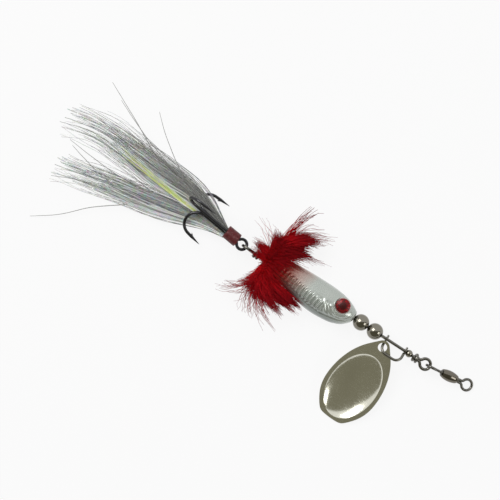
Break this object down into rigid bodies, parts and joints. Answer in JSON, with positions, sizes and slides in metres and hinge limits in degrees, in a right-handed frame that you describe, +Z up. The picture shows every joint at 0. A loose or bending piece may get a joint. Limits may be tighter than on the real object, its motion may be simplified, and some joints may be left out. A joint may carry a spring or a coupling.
{
  "type": "in-line spinner lure",
  "caption": "In-line fishing spinner: barrel swivel, wire shaft, clevis with a dished blade, round beads, minnow-shaped body, feather collar and a treble hook with a tinsel tail.",
  "frame": {"origin": "centre of the line eye, at the front end of the swivel", "axes": "+X along the shaft towards the line, +Z up from the table the lure lies on, +Y the back side of the minnow body"},
  "size_m": [0.1412, 0.0394, 0.0146],
  "materials": {
    "swivel_wire": "bright wire with dark reflections",
    "swivel_shell": "turned shell, slightly worn",
    "shaft_steel": "drawn stainless wire",
    "bead_nickel": "polished nickel",
    "clevis_nickel": "stamped nickel-plated brass",
    "blade_nickel": "polished nickel with fine scratches",
    "body_paint": "pearl white to grey-green lacquer, orange-red at the tail",
    "tube_metal": "drawn tube",
    "eye_red": "domed dark red lens with a pale rim",
    "thread_red": "glittery red tying thread",
    "feather_red": "soft marabou",
    "hook_black": "black nickel",
    "thread_maroon": "waxed tying thread",
    "tinsel_silver": "holographic tinsel",
    "hair_grey": "translucent fibre"
  },
  "bodies": {
    "shaft": {"shaft_wire": "shaft_steel"},
    "link_eye": {"link_eye": "swivel_wire"},
    "swivel_barrel": {"swivel_barrel": "swivel_shell"},
    "line_eye": {"line_eye": "swivel_wire"},
    "bead_front": {"bead_front": "bead_nickel"},
    "bead_rear": {"bead_rear": "bead_nickel"},
    "clevis": {"clevis": "clevis_nickel", "bearing_bead": "bead_nickel"},
    "blade": {"spinner_blade": "blade_nickel"},
    "body": {"minnow_body": "body_paint", "body_tube": "tube_metal", "eye_left": "eye_red", "eye_right": "eye_red", "collar_thread": "thread_red", "feather_collar": "feather_red"},
    "treble": {"treble_double_hook": "hook_black", "treble_third_hook": "hook_black", "hook_thread": "thread_maroon", "tail_tinsel_upper": "tinsel_silver", "tail_tinsel_lower": "tinsel_silver", "tail_hair": "hair_grey"}
  },
  "joints": [
    {"name": "swivel_link_tilt", "type": "hinge", "parent": "shaft", "child": "link_eye", "pos_m": [-0.01213, -0.00136, 0.00334], "axis": [-0.1115, 0.9938, 0], "range_deg": [-45, 75]},
    {"name": "swivel_barrel_spin", "type": "hinge", "parent": "link_eye", "child": "swivel_barrel", "pos_m": [-0.00575, -0.00065, 0.00158], "axis": [-0.9585, -0.1075, 0.264], "continuous": true},
    {"name": "line_eye_spin", "type": "hinge", "parent": "swivel_barrel", "child": "line_eye", "pos_m": [-0.00575, -0.00065, 0.00158], "axis": [-0.9585, -0.1075, 0.264], "continuous": true},
    {"name": "clevis_spin", "type": "hinge", "parent": "shaft", "child": "clevis", "pos_m": [-0.02686, -0.00153, 0.00334], "axis": [1, 0, 0], "continuous": true},
    {"name": "blade_swing", "type": "hinge", "parent": "clevis", "child": "blade", "pos_m": [-0.02661, -0.00413, 0.00461], "axis": [-0.01, -0.1905, 0.9816], "range_deg": [-20, 12]},
    {"name": "bead_front_spin", "type": "hinge", "parent": "shaft", "child": "bead_front", "pos_m": [-0.03079, -0.00153, 0.00334], "axis": [1, 0, 0], "continuous": true},
    {"name": "bead_rear_spin", "type": "hinge", "parent": "shaft", "child": "bead_rear", "pos_m": [-0.03551, -0.00153, 0.00334], "axis": [1, 0, 0], "continuous": true},
    {"name": "body_spin", "type": "hinge", "parent": "shaft", "child": "body", "pos_m": [-0.03792, -0.00153, 0.00334], "axis": [1, 0, 0], "continuous": true},
    {"name": "treble_swing", "type": "hinge", "parent": "shaft", "child": "treble", "pos_m": [-0.07576, -0.00153, 0.00334], "axis": [0, 0, 1], "range_deg": [-43, 57]}
  ]
}
